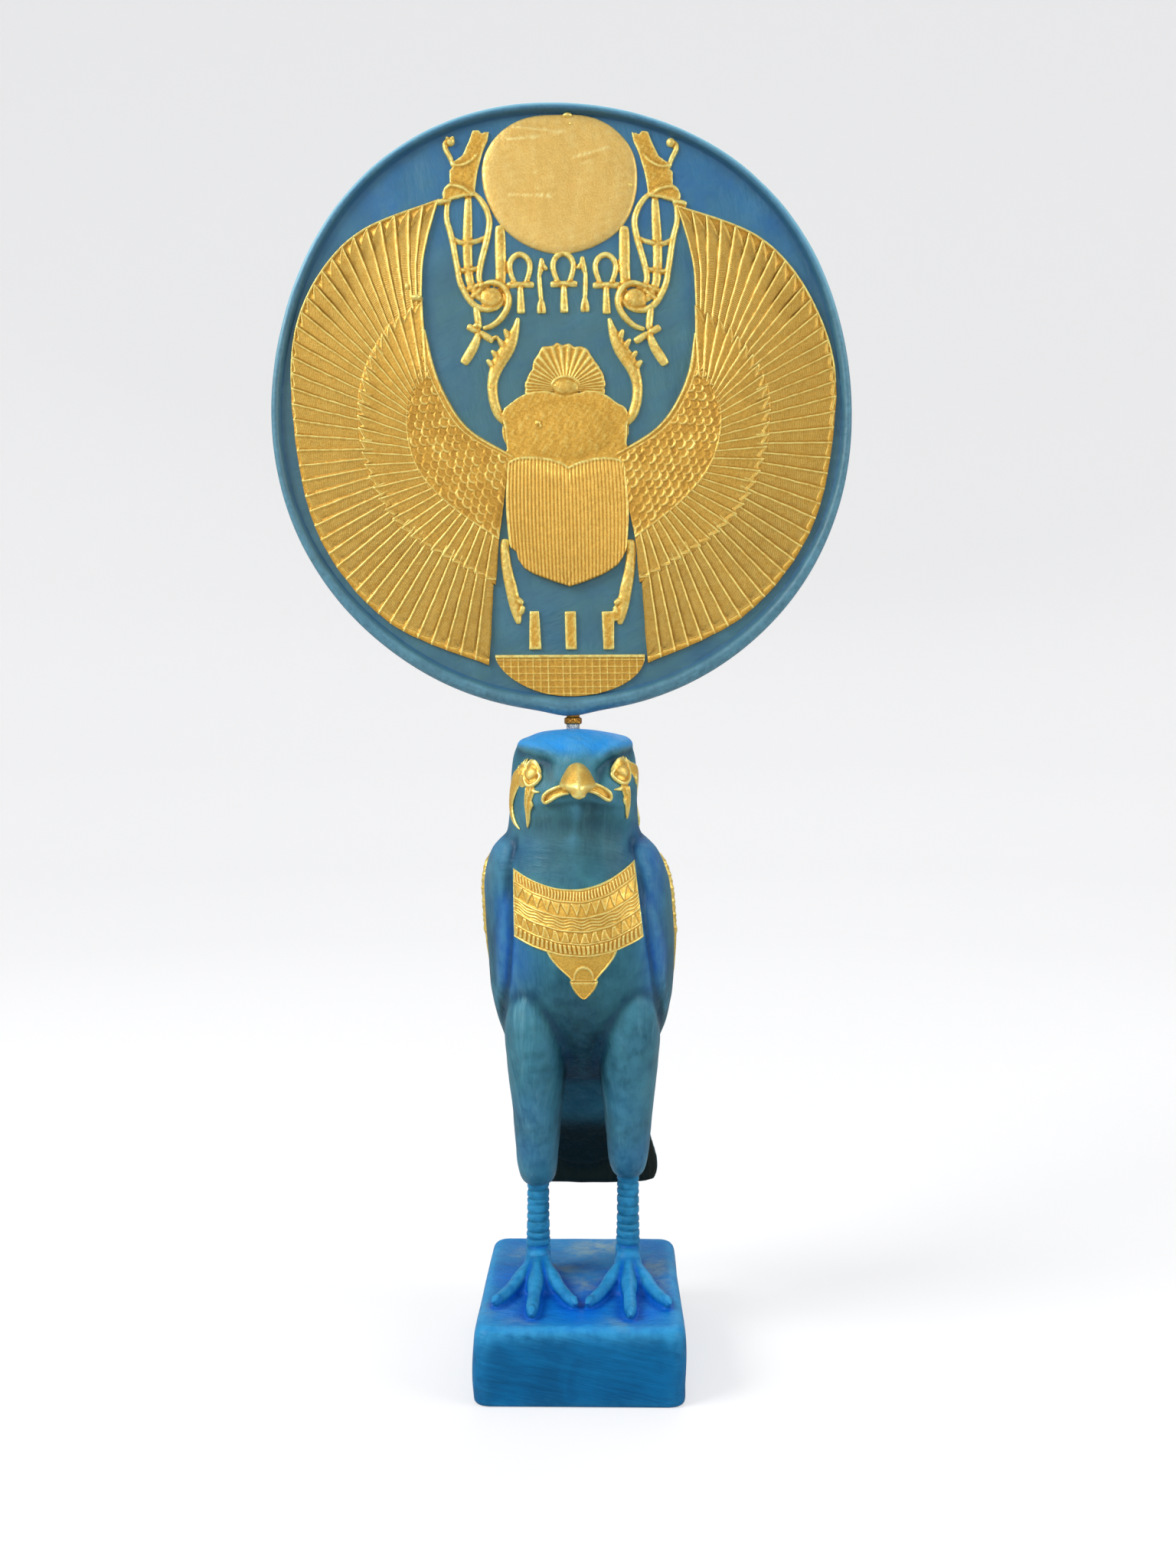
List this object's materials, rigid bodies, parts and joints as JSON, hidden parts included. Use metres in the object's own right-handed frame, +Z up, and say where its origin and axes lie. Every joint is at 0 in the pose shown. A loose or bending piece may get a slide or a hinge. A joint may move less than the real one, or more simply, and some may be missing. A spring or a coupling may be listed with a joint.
{
  "type": "falcon figure with an oval disc",
  "caption": "Standing falcon figure on a block plinth, with an upright oval relief disc pinned on its head.",
  "frame": {"origin": "centre of the plinth's underside", "axes": "+Z up, -Y the way the falcon faces, +X towards the falcon's left side as the viewer's right"},
  "size_m": [0.2294, 0.1041, 0.4963],
  "materials": {
    "painted_body": "hand-painted teal blue with gold details, satin",
    "painted_disc": "hand-painted blue with gold relief, satin",
    "brass_pin": "polished"
  },
  "bodies": {
    "root": {"falcon": "painted_body", "sun_disc": "painted_disc", "pin": "brass_pin"}
  },
  "joints": []
}
